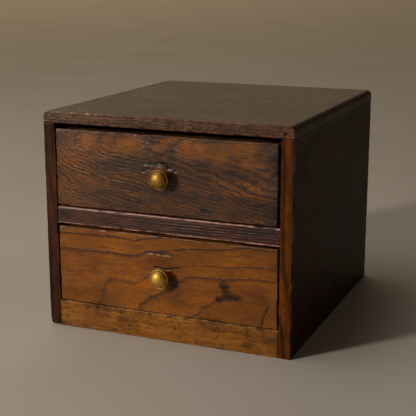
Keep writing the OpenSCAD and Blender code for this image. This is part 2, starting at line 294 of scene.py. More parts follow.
def heart_line(grain, first, second, pitch, seed, lean=(0.0, 0.0), wander=2.0):
    """Rings round a heart line that runs along the grain axis. Ring number: a point's distance from
    the line, which leans and wanders as it goes, over the pitch of the rings."""
    others = [axis for axis in range(3) if axis != grain]
    cell = np.full(3, 22.0)
    cell[grain] = 90.0

    def rings(p):
        """The ring number at each point."""
        along = p[:, grain]
        a = p[:, others[0]] - first - lean[0] * along + wander * noise(p, cell, seed)
        b = p[:, others[1]] - second - lean[1] * along + wander * noise(p, cell, seed + 1)
        return np.hypot(a, b) / pitch
    return rings


# Depth of the waves that hand planing leaves, and how far wear reaches in from an arris.
PLANING_WAVES = 0.12
ARRIS_REACH = 2.0


def board(name, body, slot, material, rings, low=None, high=None, keep=None, cuts=((), (), ()),
          steps=(2.0, 1.0, 1.0), arris=0.7, nicks=0.5, relief=0.1, late=(0.5, 0.8, 1.0), seed=1,
          shape=soften, mark=None, blunt=None):
    """A board in the place of a CAD node: a carved grid with its arrises worn round and nicked, its
    soft early wood worn down by relief, and slow waves left in its faces by planing. mark returns
    how deep each point is cut by splits and dents, how dark it is, and how calm the figure is
    there; blunt returns how much rounder the arrises are worn at each point."""
    box_low, box_high = node_box(name)
    low = box_low if low is None else np.array(low)
    high = box_high if high is None else np.array(high)
    p, quads = carve(*[grid_lines(*span) for span in zip(low, high, steps, cuts)], keep)
    wear = arris * (1 + 0.45 * noise(p, 14, seed) + 0.3 * noise(p, 4, seed + 1))
    wear = wear + blunt(p) if blunt else wear
    ring = rings(p)
    rim = rim_closeness(p, low, high, ARRIS_REACH)
    deep, dark, calm = mark(p) if mark else (0.0, np.zeros(len(p)), np.zeros(len(p)))
    p = shape(p, low, high, wear[:, None])
    sink = relief * (1 - (1 - calm) * late_wood(ring, late)) * (1 - 0.7 * rim)
    sink = sink + PLANING_WAVES * (1 + noise(p, (47, 43, 41), seed + 2)) / 2
    sink = sink + nicks * rim * np.clip(noise(p, (4, 4, 4), seed + 3) - 0.3, 0, 1) + deep
    p = np.clip(p - outward(p, quads) * sink[:, None], low, high)
    piece = new_piece(name, p, quads, material, ring=ring, rim=rim, split=dark, calm=calm)
    join_frame(piece, body, slot, name)
    return piece


def old_wood(name, grain, pale, deep, line, pores, worn, late=(0.5, 0.8, 1.0), ragged=0.16,
             strength=(0.6, 0.4), grime=0.6, specks=0.8, rub=(0.45, 0.95), gloss=0.26, shine=0.2,
             coat=0.0, film=0.3, bump=0.5):
    """Ring-porous wood, oiled and rubbed. The rings come from the board's own figure, kept as the
    layer ring; their late wood is dark between the shares late of each ring, its edges ragged by
    short fibres. Rows of pores some 0.3 mm wide and 6 mm long run along the grain axis, arrises
    are rubbed to the colour worn, on some boards pale enough to be a painted highlight too, and
    dirt lies in broad clouds, in specks and scratches of about a millimetre, and in patches along
    the arrises. Where the layer split is above 0 it lays on the colour pores: dirt in the splits
    and stains, and on some boards painted shade, such as painted shadows beside the knobs; below 0
    it lays on the colour worn as painted highlights, glints on torn lips and on late wood. Where
    the layer calm is 1 the rings fade and the wood is paler. Oil gives a satin gloss, and coat adds
    a harder film of it."""
    material, tree, shader = new_material(name)
    place = add(tree, "TexCoord").outputs["Object"]
    ring, rim, split, calm = (
        add(tree, "Attribute", attribute_name=layer, attribute_type="GEOMETRY").outputs["Fac"]
        for layer in ("ring", "rim", "split", "calm"))

    # noises drawn out along the grain: length and width in millimetres, detail, roughness
    streaks = []
    for along, across, detail, rough in (
            (6.0, 0.6, 3.0, 0.55),  # short fibres
            (70.0, 4.0, 2.0, 0.55),  # broad stripes
            (16.0, 0.35, 2.0, 0.55),  # hair lines
            (5.5, 0.34, 1.0, 0.4),  # pores
            (60.0, 24.0, 3.0, 0.55),  # clouds of deeper colour
            (22.0, 10.0, 5.0, 0.65),  # patches of dirt
            (2.4, 1.2, 3.0, 0.7),  # specks and scratches
            (9.0, 3.0, 3.0, 0.55)):  # places that hands rub
        scale = [1 / (across * MM)] * 3
        scale[grain] = 1 / (along * MM)
        drawn_out = add(tree, "Mapping", {"Vector": place, "Scale": scale})
        streaks.append(add(tree, "TexNoise", {"Vector": drawn_out, "Scale": 1.0, "Detail": detail,
                                              "Roughness": rough}))
    fine, broad, hair, pore, cloud, patch, speck, hands = streaks

    # each mask climbs from 0 to 1 while its source goes from one value to the other
    masks = []
    for source, low, high in (
            (pore, 0.60, 0.70), (cloud, 0.35, 0.65), (broad, 0.42, 0.7), (hair, 0.45, 0.75),
            (patch, 0.47, 0.66), (patch, 0.3, 0.6), (patch, 0.42, 0.58), (speck, 0.57, 0.66),
            (rim, 0.3, 0.8), (rim, *rub), (hands, 0.38, 0.58)):
        masks.append(add(tree, "MapRange", {"Value": source, "From Min": low, "From Max": high}))
    (hole, clouded, striped, lined, soiled_patch, near_patch, arris_patch, specked,
     arris, rubbed_arris, handled) = masks

    # the rings, with their edges torn by the fibres, and each ring with its own strength
    shift = add(tree, "Math", {0: fine, 1: 0.5}, operation="SUBTRACT")
    torn = add(tree, "Math", {0: shift, 1: 4 * ragged, 2: ring}, operation="MULTIPLY_ADD")
    passed = add(tree, "Math", {0: torn}, operation="FRACT")
    start, full, end = late
    band = add(tree, "ValToRGB", {"Fac": passed},
               stops=[(start, 0.0), (full, 1.0), (full + 0.6 * (end - full), 1.0), (end, 0.0)])
    number = add(tree, "Math", {0: torn}, operation="FLOOR")
    each = add(tree, "TexWhiteNoise", {"W": number}, noise_dimensions="1D")
    weight = add(tree, "Math", {0: each, 1: strength[1], 2: strength[0]}, operation="MULTIPLY_ADD")
    dark = add(tree, "Math", {0: band, 1: weight}, operation="MULTIPLY", use_clamp=True)
    figure = add(tree, "Math", {0: calm, 1: -0.85, 2: 1.0}, operation="MULTIPLY_ADD")
    dark = add(tree, "Math", {0: dark, 1: figure}, operation="MULTIPLY")

    # dirt: in patches, in specks where the patches are near, and in patches along the arrises
    specked_patch = add(tree, "Math", {0: near_patch, 1: specks}, operation="MULTIPLY")
    soiled = add(tree, "Math", {0: soiled_patch, 1: grime}, operation="MULTIPLY")
    for first, second in ((specked, specked_patch), (arris, arris_patch)):
        both = add(tree, "Math", {0: first, 1: second}, operation="MULTIPLY")
        soiled = add(tree, "Math", {0: soiled, 1: both}, operation="MAXIMUM")
    rubbed = add(tree, "Math", {0: rubbed_arris, 1: handled}, operation="MULTIPLY")

    # the colours, each laid over those before it as strongly as its mask and amount say; the layer
    # split lays on dirt and painted shade in the colour pores, and below 0 painted highlights in worn
    colour = linear(pale)
    for mask, amount, over in (
            (clouded, 1.0, deep), (striped, 0.6, deep), (lined, 0.55, line), (calm, 0.6, pale),
            (dark, 1.0, line), (hole, 0.7, pores), (soiled, 0.85, pores), (rubbed, 1.0, worn),
            (split, 1.0, pores), (split, -1.0, worn)):
        share = add(tree, "Math", {0: mask, 1: amount}, operation="MULTIPLY", use_clamp=True)
        colour = add(tree, "Mix", {0: share, 6: colour, 7: linear(over)}, data_type="RGBA").outputs[2]
    tree.links.new(colour, shader.inputs["Base Color"])

    # heights and roughness: sums of the parts' shares
    height = 0.0
    for source, amount in ((fine, 0.5), (dark, 0.5), (hole, -0.6), (hair, 0.3)):
        height = add(tree, "Math", {0: source, 1: amount, 2: height}, operation="MULTIPLY_ADD")
    bumped = add(tree, "Bump", {"Strength": bump, "Distance": 0.4 * MM, "Height": height})
    tree.links.new(bumped.outputs["Normal"], shader.inputs["Normal"])
    tree.links.new(bumped.outputs["Normal"], shader.inputs["Coat Normal"])
    dirty = add(tree, "Math", {0: split, 1: 1.0}, operation="MULTIPLY", use_clamp=True)
    rough = gloss - 0.12
    for source, amount in ((fine, 0.24), (rim, -0.08), (hole, 0.2), (dirty, 0.25)):
        rough = add(tree, "Math", {0: source, 1: amount, 2: rough}, operation="MULTIPLY_ADD")
    tree.links.new(rough.outputs["Value"], shader.inputs["Roughness"])
    shader.inputs["Specular IOR Level"].default_value = shine
    shader.inputs["Coat Weight"].default_value = coat
    shader.inputs["Coat Roughness"].default_value = film
    return material


JOINT_FIT = 0.1
bottom_low, bottom_high = node_box("bottom_board")
rail_low, rail_high = node_box("bottom_rail")
divider_low, divider_high = node_box("divider_rail")
plank_low, plank_high = node_box("back_plank_low")
left_low, left_high = node_box("left_side")
right_low, right_high = node_box("right_side")
TENON_SHOULDER = 4.0
TENON_THICK = 6.0


def rail_tenon(low, high, y, z, grow):
    """Whether a place is within a rail's stub tenon: the middle of its depth and of its height."""
    middle = (low[1] + high[1]) / 2
    return ((np.abs(y - middle) < TENON_THICK / 2 + grow) & (z > low[2] + TENON_SHOULDER - grow)
            & (z < high[2] - TENON_SHOULDER + grow))


def side_wood(x, y, z):
    """A side board without its rabbet, its housing and its mortises; x is taken off the middle."""
    far = np.abs(x)
    rabbet = (far < plank_high[0] + JOINT_FIT) & (y > plank_low[1])
    housing = ((far < bottom_high[0] + JOINT_FIT) & (y > bottom_low[1])
               & (z > bottom_low[2] - JOINT_FIT) & (z < bottom_high[2] + JOINT_FIT))
    mortises = (rail_tenon(rail_low, rail_high, y, z, JOINT_FIT)
                | rail_tenon(divider_low, divider_high, y, z, JOINT_FIT))
    return ~(rabbet | housing | (mortises & (far < rail_high[0] + JOINT_FIT)))


side_cuts_x = [plank_high[0] + JOINT_FIT, bottom_high[0] + JOINT_FIT, rail_high[0] + JOINT_FIT]
side_cuts_y = [plank_low[1], bottom_low[1]]
side_cuts_z = [bottom_low[2] - JOINT_FIT, bottom_high[2] + JOINT_FIT]
for low, high in ((rail_low, rail_high), (divider_low, divider_high)):
    side_cuts_y += [(low[1] + high[1] + side * (TENON_THICK + 2 * JOINT_FIT)) / 2 for side in (-1, 1)]
    side_cuts_z += [low[2] + TENON_SHOULDER - JOINT_FIT, high[2] - TENON_SHOULDER + JOINT_FIT]


def left_foot_corner(p):
    """The left board's front foot is worn off: 2 mm rounder there, falling off in 5 mm."""
    return 2.0 * np.exp(-(p[:, 2] / 5) ** 2 - ((p[:, 1] - left_low[1]) / 5) ** 2)


def dark_faces(p):
    """Everything that lies more than a millimetre or two behind the front is darkened, painted shade
    that makes the broad faces as dark as a side in shadow and leaves the front edges paler. Dirt
    darkens some of the upper right edge and the outer arrises in ragged patches. Behind the front
    the figure is a little calmer. The right edge has five small dents."""
    # painted shade: the faces behind the front are darkened, so a side looks as dark as in shadow
    behind = np.clip((p[:, 1] - left_low[1] - 1) / 3, 0, 1)
    inner = right_low[0]
    upper_right = 0.22 * np.clip(p[:, 0] / 100, 0, 1) * np.clip((p[:, 2] - 90) / 60, 0, 1)
    outer_arris = np.clip((np.abs(p[:, 0]) - right_high[0] + 2.5) / 2, 0, 1)
    outer_arris = outer_arris * np.clip(0.6 + 1.6 * noise(p, (4, 4, 6), 29), 0, 0.85) * (behind < 1)
    dents = sum(np.exp(-((p[:, 0] - x) / 0.9) ** 2 - ((p[:, 2] - z) / 1.3) ** 2) for x, z in
                ((inner + 4.5, 50), (inner + 6.5, 30), (inner + 5.5, 72), (inner, 124), (inner, 116)))
    dark = np.maximum(np.maximum(0.72 * behind, upper_right), np.maximum(outer_arris, 0.9 * dents))
    return 0.35 * dents, np.clip(dark, 0, 1), 0.3 * behind


# Planed ring-porous hardwood such as chestnut, stained and oiled: nearly black on the left, red brown
# on the right, with a low satin gloss and only a hint of its rings.
SIDE_LATE = (0.45, 0.8, 1.0)
left_stain = old_wood("dark_stained_chestnut", 2, "#54290e", "#331807", "#180d07", "#0d0804",
                      "#6c3f22", SIDE_LATE, shine=0.15)
right_stain = old_wood("red_brown_stained_chestnut", 2, "#8e4902", "#502602", "#1e0f03", "#0d0703",
                       "#7e420f", SIDE_LATE, shine=0.12)
board("left_side", "carcass", "oiled_oak_case", left_stain,
      heart_line(2, -62, 40, 3.3, 21, lean=(0.01, -0.02), wander=2.0), keep=side_wood,
      cuts=([-x for x in side_cuts_x], side_cuts_y, side_cuts_z), steps=(1.0, 1.2, 2.4),
      late=SIDE_LATE, blunt=left_foot_corner, mark=dark_faces, seed=31)
board("right_side", "carcass", "oiled_oak_case", right_stain,
      heart_line(2, 70, 10, 3.1, 23, lean=(-0.01, 0.02), wander=2.0), keep=side_wood,
      cuts=(side_cuts_x, side_cuts_y, side_cuts_z), steps=(1.0, 1.2, 2.4),
      late=SIDE_LATE, mark=dark_faces, seed=41)

# ---- Bottom board and bottom rail ----
# The bottom is a thin board of softwood such as cedar, left bare and slid into housings in the
# sides. The rail in front of it is the same hardwood as the sides, oiled to amber, and stands on
# the floor on stub tenons.


def rail_with_tenons(low, high, inner):
    """A rail between the side boards' inner faces, and past them only its tenons."""
    return lambda x, y, z: (np.abs(x) < inner) | rail_tenon(low, high, y, z, 0.0)


inner_face = right_low[0]
# Planed cedar that was never finished: dull, pale brown with thin rings, and darkened by age.
CEDAR_LATE = (0.6, 0.9, 1.0)
CASE_CEDAR = {"pale": "#a9835a", "deep": "#8f6a44", "line": "#74512f", "pores": "#4d3621",
              "worn": "#a88a66", "late": CEDAR_LATE, "strength": (0.35, 0.4), "grime": 0.5,
              "gloss": 0.66, "bump": 0.35}
bare_x = old_wood("bare_cedar_along_x", 0, **CASE_CEDAR)
board("bottom_board", "carcass", "bare_cedar", bare_x, heart_line(0, 30, -60, 3.0, 51),
      steps=(4.0, 3.0, 2.0), arris=0.3, seed=52)


def rail_marks(p):
    """Dirt: patches a few millimetres across all over, thick along the lower edge and under the
    drawer, and a line at each end where the rail meets a side."""
    to_edge = np.minimum(p[:, 2] - rail_low[2], 0.6 * (rail_high[2] - p[:, 2]))
    patches = noise(p, (5, 9, 3.4), 57) + 0.6 * noise(p, (1.7, 9, 1.5), 58)
    dirt = np.clip(1.6 * (patches - 0.62) + 0.9 * np.exp(-to_edge / 1.6) * (patches > 0.1), 0, 0.8)
    to_end = left_high[0] + np.abs(p[:, 0])
    ends = np.exp(-np.abs(to_end) / 0.7)
    return 0.1 * dirt, np.clip(dirt + 0.8 * ends, 0, 1), np.zeros(len(p))


# Planed hardwood under oil alone: warm amber, hardly any rings, and dirt in small patches.
RAIL_LATE = (0.72, 0.84, 0.97)
amber_rail = old_wood("amber_oiled_chestnut_rail", 0, "#b57126", "#855019", "#4f2b0f", "#2a180c",
                      "#a87440", RAIL_LATE, strength=(0.12, 0.2), ragged=0.10, grime=0.8,
                      specks=1.3)
board("bottom_rail", "carcass", "oiled_oak_amber", amber_rail,
      heart_line(0, -60, 62, 4.2, 53, lean=(0.0, 0.03), wander=3.0),
      keep=rail_with_tenons(rail_low, rail_high, inner_face),
      cuts=([-inner_face, inner_face], side_cuts_y[2:4], side_cuts_z[2:4]), steps=(1.5, 1.2, 0.6),
      late=RAIL_LATE, relief=0.08, arris=0.8, mark=rail_marks, seed=55)

# ---- Rail between the drawers, runners and rear rail ----
# The rail is a thick piece of dark hardwood whose upper front arris is rubbed round by the
# drawer. Behind it the upper drawer slides on two softwood runners, nailed to the sides, with a
# softwood rail between their rear ends.

DIVIDER_RADIUS = 2.3


def divider_shape(p, low, high, radius):
    """The rail's arrises are worn round, and its upper front one is worked to a larger radius."""
    top_front = (p[:, 1] < low[1] + 4) & (p[:, 2] > high[2] - 4)
    return soften(p, low, high, np.where(top_front[:, None], DIVIDER_RADIUS, radius))


def divider_rings(p):
    """Nearly flat rings, standing almost square to the front: height and depth share the ring
    number, and short waves bend the lines as they run along the rail."""
    rise = p[:, 2] - 0.25 * p[:, 1] + 0.012 * p[:, 0] + 0.9 * noise(p, (60, 20, 9), 61)
    return (rise + 0.7 * noise(p, (30, 12, 5), 62)) / 2.6 + 0.18 * noise(p, (9, 9, 1.1), 60)


def divider_marks(p):
    """At the left end the figure is calm and the wood a little dirty; towards the right the figure
    stands out more and more."""
    left = np.clip((40 - p[:, 0]) / 120, 0, 1)
    return 0.0, 0.3 * left * (1 + noise(p, (20, 9, 4), 59)), 0.9 * left


# Weathered hardwood, stained dark and oiled until it shines: thin ridges of late wood, and arrises
# rubbed to a pale pinkish brown, pale enough to be a painted highlight along the upper front arris.
DIVIDER_LATE = (0.3, 0.5, 0.95)
dark_rail = old_wood("dark_weathered_chestnut_rail", 0, "#61301a", "#3f1f10", "#20130d", "#100a07",
                     "#dda590", DIVIDER_LATE, strength=(0.5, 0.5), bump=0.6, gloss=0.34, shine=0.22,
                     coat=0.15, film=0.17, rub=(0.4, 0.75))
board("divider_rail", "carcass", "oiled_oak_dark", dark_rail, divider_rings,
      keep=rail_with_tenons(divider_low, divider_high, inner_face),
      cuts=([-inner_face, inner_face], side_cuts_y[4:6], side_cuts_z[4:6]), steps=(1.2, 2.0, 0.35),
      late=DIVIDER_LATE, relief=0.2, arris=0.8, nicks=0.9, shape=divider_shape,
      mark=divider_marks, seed=63)

bare_y = old_wood("bare_cedar_along_y", 1, **CASE_CEDAR)
board("left_runner", "carcass", "bare_cedar", bare_y, heart_line(1, -80, 60, 2.6, 64),
      steps=(1.2, 4.0, 1.2), arris=0.4, seed=65)
board("right_runner", "carcass", "bare_cedar", bare_y, heart_line(1, 130, 70, 2.8, 66),
      steps=(1.2, 4.0, 1.2), arris=0.4, seed=67)
board("rear_rail", "carcass", "bare_cedar", bare_x, heart_line(0, 90, 70, 2.4, 68),
      steps=(4.0, 1.5, 1.2), arris=0.4, seed=69)

# ---- Top board ----
# One wide board of the same hardwood, laid over the sides and pegged down. Its end edges are
# planed to a quarter round, and its face is rubbed smooth and glossy with years of oil.

TOP_RADIUS = 5.5
top_low, top_high = node_box("top_board")


def top_shape(p, low, high, radius):
    """Rounds the board's outline seen from the front, quarter rounds above its end edges, and then
    all arrises: where a point lies less than radius under both the outline and a front or back
    face, the two shortfalls are drawn back to a circle of that radius."""
    p = p.copy()
    side = np.sign(p[:, 0])
    in_x = np.abs(p[:, 0]) - (high[0] - TOP_RADIUS)
    in_z = p[:, 2] - (high[2] - TOP_RADIUS)
    corner = (in_x > 0) & (in_z > 0)
    reach = np.hypot(in_x, in_z)
    pull = np.where(corner, np.minimum(1, TOP_RADIUS / np.maximum(reach, 1e-9)), 1)
    p[:, 0] = np.where(corner, side * (high[0] - TOP_RADIUS + in_x * pull), p[:, 0])
    p[:, 2] = np.where(corner, high[2] - TOP_RADIUS + in_z * pull, p[:, 2])
    # the direction out of the outline, and how deep each point lies under it
    faces = np.stack([high[0] - np.abs(p[:, 0]), high[2] - p[:, 2], p[:, 2] - low[2]], axis=1)
    nearest = np.argmin(faces, axis=1)
    reach = np.maximum(np.minimum(reach, TOP_RADIUS), 1e-9)
    out_x = np.where(corner, side * in_x * pull / reach, np.where(nearest == 0, side, 0))
    out_z = np.where(corner, in_z * pull / reach, np.select([nearest == 1, nearest == 2], [1, -1], 0))
    under = np.where(corner, TOP_RADIUS - reach, faces.min(axis=1))
    radius = radius[:, 0]
    first = np.clip(radius - under, 0, None)
    front = np.clip(radius - (p[:, 1] - low[1]), 0, None)
    back = np.clip(radius - (high[1] - p[:, 1]), 0, None)
    second = front - back
    length = np.hypot(first, second)
    keep = np.where((first > 0) & (second != 0), np.clip(1 - radius / np.maximum(length, 1e-9), 0, 1), 0)
    p[:, 0] -= first * keep * out_x
    p[:, 2] -= first * keep * out_z
    p[:, 1] += second * keep
    return p


def top_marks(p):
    """The front edge was never planed smooth: short torn hollows along the grain, at most 0.26 mm
    deep, wherever a noise stretched along the edge is above its middle, dark inside, with a
    hatching of saw marks, some dark and some laid pale as painted glints. The rounded ends are
    darker."""
    on_edge = np.clip(1 - (p[:, 1] - top_low[1]) / 2, 0, 1)
    torn = np.clip(noise(p, (2.6, 9, 1.0), 75) + 0.6 * noise(p, (1.7, 9, 2.6), 76), 0, 1)
    hatch = noise(p, (1.5, 9, 3.0), 77) + 0.5 * noise(p, (3.1, 9, 0.9), 78)
    # painted highlights: where the hatch noise is low the edge is laid pale in the colour worn, as
    # glints
    dark = 0.75 * torn + 0.5 * np.clip(hatch, 0, 1) - 1.0 * np.clip(-hatch - 0.38, 0, 0.6)
    ends = 0.6 * np.clip((np.abs(p[:, 0]) - top_high[0] + TOP_RADIUS) / 4, 0, 1) * (1 - on_edge)
    return 0.26 * torn * on_edge, dark * on_edge + ends, 0.2 * on_edge


# Planed hardwood, oiled and rubbed for years: an even grey brown with fine rings and a soft gloss.
# Its red brown worn colour is on the rubbed arrises and in the painted glints of the front edge.
TOP_LATE = (0.5, 0.85, 1.0)
top_oil = old_wood("glossy_oiled_chestnut_top", 0, "#76502c", "#55361c", "#3a2114", "#1a100b",
                   "#95583c", TOP_LATE, strength=(0.45, 0.45), gloss=0.30, coat=0.12, film=0.2,
                   shine=0.16, bump=0.4, grime=0.45)
board("top_board", "carcass", "oiled_oak_top", top_oil,
      heart_line(0, -30, 118, 1.8, 71, lean=(0.02, 0.01), wander=2.0), steps=(1.6, 1.8, 0.5),
      late=TOP_LATE, relief=0.07, arris=0.9, nicks=0.7, shape=top_shape, mark=top_marks,
      seed=73)

# ---- Back planks ----
# Three bare softwood planks lie across the back, one above the other, in the sides' rabbets.
# They were sawn and left rough, and have greyed a little.

# Sawn cedar, never planed or oiled: rough, dull, greyish brown.
PLANK_LATE = (0.55, 0.88, 1.0)
bare_back = old_wood("greyed_cedar_planks", 0, "#957350", "#7b5c3e", "#5b4129", "#35261a", "#9b8062",
                     PLANK_LATE, gloss=0.7, bump=0.6, strength=(0.45, 0.4), grime=0.7)


def dark_joints(p):
    """Dust has gathered where the planks meet: dark near both joints, fading within 1.2 mm."""
    joints = [node_box(name)[1][2] for name in ("back_plank_low", "back_plank_mid")]
    near = np.min([np.abs(p[:, 2] - joint) for joint in joints], axis=0)
    return 0.0, 0.9 * np.exp(-near / 1.2), np.zeros(len(p))


for name, across, height, seed in (("back_plank_low", 205, 20, 81), ("back_plank_mid", 195, 84, 83),
                                   ("back_plank_high", 210, 170, 85)):
    board(name, "carcass", "bare_cedar", bare_back, heart_line(0, across, height, 2.7, seed, wander=3.0),
          steps=(3.0, 2.0, 0.9), arris=1.3, relief=0.12, late=PLANK_LATE,
          mark=dark_joints, seed=seed + 1)

# ---- Pegs and nails of the case ----
# Wooden pegs hold the top board down, and hand-made iron nails hold the runners and the back
# planks. They are driven flush and have rusted dark brown.


def turned(profile, start, axis, sides=32, outline=None):
    """A profile of distances s and radii r spun round a line: a point at angle t is start + s axis
    + r (cos t u + sin t v), with u and v square to the axis. A first and last radius of 0 are
    single points; otherwise the profile closes on itself. outline changes r by the angle t."""
    axis = np.array(axis, float)
    u = np.roll(axis, 1) - axis * np.dot(np.roll(axis, 1), axis)
    u /= np.linalg.norm(u)
    v = np.cross(axis, u)
    s, r = np.asarray(profile, float).T
    poles = r[0] == 0
    rows = slice(1, -1) if poles else slice(None)
    t = np.arange(sides) * 2 * np.pi / sides
    radius = r[rows, None] + np.zeros(sides)
    if outline:
        radius = outline(radius, t)
    spun = np.cos(t)[:, None] * u + np.sin(t)[:, None] * v
    p = np.array(start) + s[rows, None, None] * axis + radius[..., None] * spun
    count = len(p)
    number = np.arange(count * sides).reshape(count, sides)
    after = np.roll(number, -1, axis=1)
    if not poles:
        number, after = (np.vstack([a, a[:1]]) for a in (number, after))
    faces = np.stack([number[:-1], after[:-1], after[1:], number[1:]], axis=-1).reshape(-1, 4).tolist()
    p = p.reshape(-1, 3)
    if poles:
        first, last = len(p), len(p) + 1
        faces += [(first, b, a) for a, b in zip(number[0].tolist(), after[0].tolist())]
        faces += [(last, a, b) for a, b in zip(number[-1].tolist(), after[-1].tolist())]
        p = np.vstack([p, np.array(start) + s[0] * axis, np.array(start) + s[-1] * axis])
    return p, faces


def together(parts):
    """Several meshes as one: their points one after another, and their faces renumbered to match."""
    before = np.cumsum([0] + [len(p) for p, _ in parts])
    faces = [tuple(i + shift for i in face) for (_, some), shift in zip(parts, before) for face in some]
    return np.vstack([p for p, _ in parts]), faces


def peg(start, axis, diameter, length):
    """A whittled peg: a straight bar with its ends slightly domed and its end arrises broken."""
    r = diameter / 2
    profile = [(0.06, 0), (0.08, 0.5 * r), (0.16, 0.88 * r), (0.4, r), (length / 2, 0.98 * r),
               (length - 0.8, 0.94 * r), (length - 0.2, 0.7 * r), (length, 0)]
    return turned(profile, start, axis, sides=20)


NAIL_HEAD = 4.0
NAIL_SHANK = 1.8


def nail(start, axis, length):
    """A forged nail: a low uneven head, then a shank that tapers to a point."""
    lumps = np.random.default_rng(int(abs(np.sum(start)) * 10)).uniform(0.82, 1.0, 8)

    def hammered(radius, t):
        """The head's edge comes in and out with the angle, by values blended between eight places."""
        share = np.interp(t, np.linspace(0, 2 * np.pi, 9), np.append(lumps, lumps[0]))
        return radius * np.where(radius > NAIL_SHANK / 2 + 0.01, share, 1.0)
    r = NAIL_HEAD / 2
    profile = [(0, 0), (0.02, 0.45 * r), (0.16, 0.85 * r), (0.45, r), (0.85, 0.95 * r), (1.0, 0.6 * r),
               (1.05, NAIL_SHANK / 2), (0.6 * length, NAIL_SHANK / 2 - 0.05),
               (0.9 * length, 0.3 * NAIL_SHANK), (length, 0)]
    return turned(profile, start, axis, sides=24, outline=hammered)


def old_iron(name):
    """Forged iron: nearly black scale with brown rust in patches, and a little bare metal on top."""
    material, tree, shader = new_material(name)
    place = add(tree, "TexCoord").outputs["Object"]
    rust = add(tree, "TexNoise", {"Vector": place, "Scale": 900.0, "Detail": 4.0}).outputs["Fac"]
    tone = add(tree, "ValToRGB", {"Fac": rust},
               stops=[(0.35, "#2c2724"), (0.5, "#40302a"), (0.66, "#6a4229")])
    tree.links.new(tone.outputs["Color"], shader.inputs["Base Color"])
    metal = add(tree, "ValToRGB", {"Fac": rust}, stops=[(0.4, 0.9), (0.6, 0.1)])
    tree.links.new(metal.outputs["Color"], shader.inputs["Metallic"])
    rough = add(tree, "ValToRGB", {"Fac": rust}, stops=[(0.35, 0.45), (0.65, 0.85)])
    tree.links.new(rough.outputs["Color"], shader.inputs["Roughness"])
    pits = add(tree, "Bump", {"Strength": 0.5, "Distance": 0.15 * MM, "Height": rust})
    tree.links.new(pits.outputs["Normal"], shader.inputs["Normal"])
    return material


TOP_PEG = 3.0
TOP_PEG_LENGTH = 32.0
PEG_INSET = 24.0
peg_x = top_high[0] - TOP_RADIUS - TOP_PEG / 2
peg_ys = [top_low[1] + PEG_INSET, (top_low[1] + plank_low[1]) / 2, plank_low[1] - PEG_INSET]
# Whittled hardwood pegs, cut flush, oiled with the top and nearly black with dirt.
peg_end_z = old_wood("whittled_peg_upright", 2, "#4e3826", "#3a281b", "#291c13", "#140d09", "#6a503a",
                     gloss=0.45, bump=0.3)
p, faces = together([peg((x, y, top_high[2]), (0, 0, -1), TOP_PEG, TOP_PEG_LENGTH)
                     for x in (-peg_x, peg_x) for y in peg_ys])
join_frame(new_piece("top_pegs", p, faces, peg_end_z), "carcass", "peg_wood", "top_pegs")

iron = old_iron("forged_iron_rusted")


def two_between(low, high):
    """The middles of the two halves of a length."""
    return [low + (high - low) / 4, low + 3 * (high - low) / 4]


back_low, back_high = node_box("back_nails")
nail_x = (plank_high[0] + JOINT_FIT + inner_face) / 2
nail_zs = []
for name in ("back_plank_low", "back_plank_mid", "back_plank_high"):
    low, high = node_box(name)
    nail_zs += two_between(max(low[2], bottom_high[2]), high[2] + JOINT_FIT)
p, faces = together([nail((x, back_high[1], z), (0, -1, 0), back_high[1] - back_low[1])
                     for x in (-nail_x, nail_x) for z in nail_zs])
join_frame(new_piece("back_nails", p, faces, iron), "carcass", "old_iron", "back_nails")

run_low, run_high = node_box("left_runner")
nail_reach = node_box("runner_nails")[1][0]
p, faces = together([nail((side * -run_high[0], y, (run_low[2] + run_high[2]) / 2), (side, 0, 0),
                          nail_reach + run_high[0])
                     for side in (-1, 1) for y in two_between(run_low[1], run_high[1])])
join_frame(new_piece("runner_nails", p, faces, iron), "carcass", "old_iron", "runner_nails")

# ---- Drawer boxes ----
# Each drawer is a box of thin bare softwood: two sides, lapped and pegged into the front, a back
# between them, and a bottom panel in grooves, nailed up into the back.

PANEL_GROOVE = 4.0
PEG = 2.5
PEG_LENGTH = 20.0
# The same planed cedar as the case's, but paler, as drawers stay shut, and smoother with handling.
DRAWER_CEDAR = {**CASE_CEDAR, "pale": "#b48c60", "deep": "#9a734a", "line": "#7d5833", "gloss": 0.6,
                "bump": 0.3, "grime": 0.45}
bare_sides = old_wood("drawer_cedar_along_y", 1, **DRAWER_CEDAR)
bare_backs = old_wood("drawer_cedar_along_x", 0, **DRAWER_CEDAR)
# Whittled hardwood pegs, cut flush and dirty at the ends.
peg_end_x = old_wood("whittled_peg_across", 0, "#7d5c3c", "#634529", "#47301b", "#2a1c11", "#8a6a4a",
                     gloss=0.55, bump=0.3)

